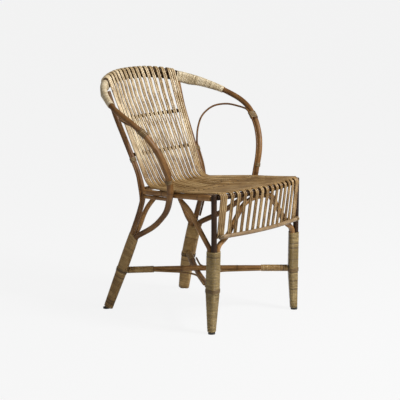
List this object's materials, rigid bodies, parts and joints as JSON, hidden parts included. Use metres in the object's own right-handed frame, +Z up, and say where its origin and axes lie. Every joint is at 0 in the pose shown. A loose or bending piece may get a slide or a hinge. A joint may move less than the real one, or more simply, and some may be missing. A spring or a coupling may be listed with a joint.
{
  "type": "rattan armchair",
  "caption": "Rattan armchair: a bent pole hoop makes arms and back rail over paired cane slats, a dished cane seat, braced legs and crossed stretchers.",
  "frame": {"origin": "middle of the chair's base on the floor, under the centre of its bounding box", "axes": "+X to the right seen from the front, +Y from the front to the back, +Z up"},
  "size_m": [0.5818, 0.5998, 0.7668],
  "materials": {
    "pole": "varnished bent pole with dark node rings",
    "cane": "varnished thin cane",
    "peel": "tightly wound peel",
    "nail": "dull",
    "glide": "matt"
  },
  "bodies": {
    "root": {"apron_rail": "pole", "back_bow": "pole", "front_top_rail": "pole", "glides": "glide", "hoop_inner_rail": "pole", "left_arm_loop": "cane", "left_arm_pole": "pole", "left_arm_wrap": "peel", "left_front_brace": "pole", "left_front_leg_wrap": "peel", "left_front_post": "pole", "left_lower_side_rail": "pole", "left_rear_brace": "pole", "left_rear_leg_wrap": "peel", "left_rear_post": "pole", "left_side_brace": "pole", "left_side_rail": "pole", "leg_bands": "peel", "loop_bindings": "peel", "lower_back_rail": "pole", "lower_stretcher": "pole", "rear_rail": "pole", "right_arm_loop": "cane", "right_arm_pole": "pole", "right_arm_wrap": "peel", "right_front_brace": "pole", "right_front_leg_wrap": "peel", "right_front_post": "pole", "right_lower_side_rail": "pole", "right_rear_brace": "pole", "right_rear_leg_wrap": "peel", "right_rear_post": "pole", "right_side_brace": "pole", "right_side_rail": "pole", "seat_bearer": "pole", "seat_edge_canes": "cane", "seat_filler_canes": "cane", "seat_nails": "nail", "slat_01": "cane", "slat_02": "cane", "slat_03": "cane", "slat_04": "cane", "slat_05": "cane", "slat_06": "cane", "slat_07": "cane", "slat_08": "cane", "slat_09": "cane", "slat_10": "cane", "slat_11": "cane", "slat_12": "cane", "slat_13": "cane", "slat_14": "cane", "slat_15": "cane", "slat_16": "cane", "slat_17": "cane", "stretcher_ties": "cane", "stretcher_wraps": "peel", "upper_back_rail": "pole", "upper_stretcher": "pole"}
  },
  "joints": []
}
